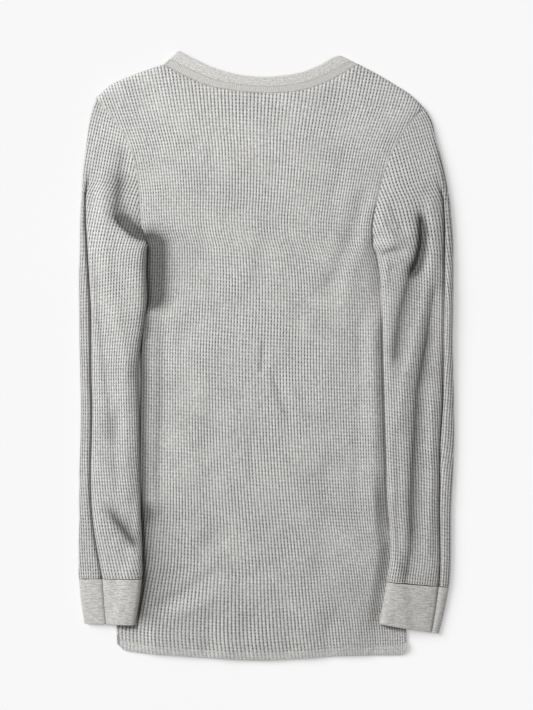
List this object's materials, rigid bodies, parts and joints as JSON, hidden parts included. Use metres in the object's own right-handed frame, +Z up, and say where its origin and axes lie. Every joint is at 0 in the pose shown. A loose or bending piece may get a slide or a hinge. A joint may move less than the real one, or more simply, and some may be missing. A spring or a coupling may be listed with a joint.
{
  "type": "long-sleeved thermal top laid flat",
  "caption": "Waffle-knit long-sleeved thermal top lying flat on its front, sleeves folded down beside the body, with a plain crew neckband and ribbed jersey cuffs.",
  "frame": {"origin": "on the surface that the top lies on, under the middle of its outline", "axes": "+Z up, away from the surface and out of the garment's back; +Y from the hem to the neck; +X to the wearer's right"},
  "size_m": [0.4293, 0.6993, 0.0113],
  "materials": {
    "waffle_knit": "matt heather grey waffle knit",
    "rib_jersey": "matt heather grey jersey, fine horizontal flecks"
  },
  "bodies": {
    "root": {"back_panel": "waffle_knit", "front_panel": "waffle_knit", "sleeve_left": "waffle_knit", "sleeve_right": "waffle_knit", "cuff_left": "rib_jersey", "cuff_right": "rib_jersey", "neckband": "rib_jersey"}
  },
  "joints": []
}
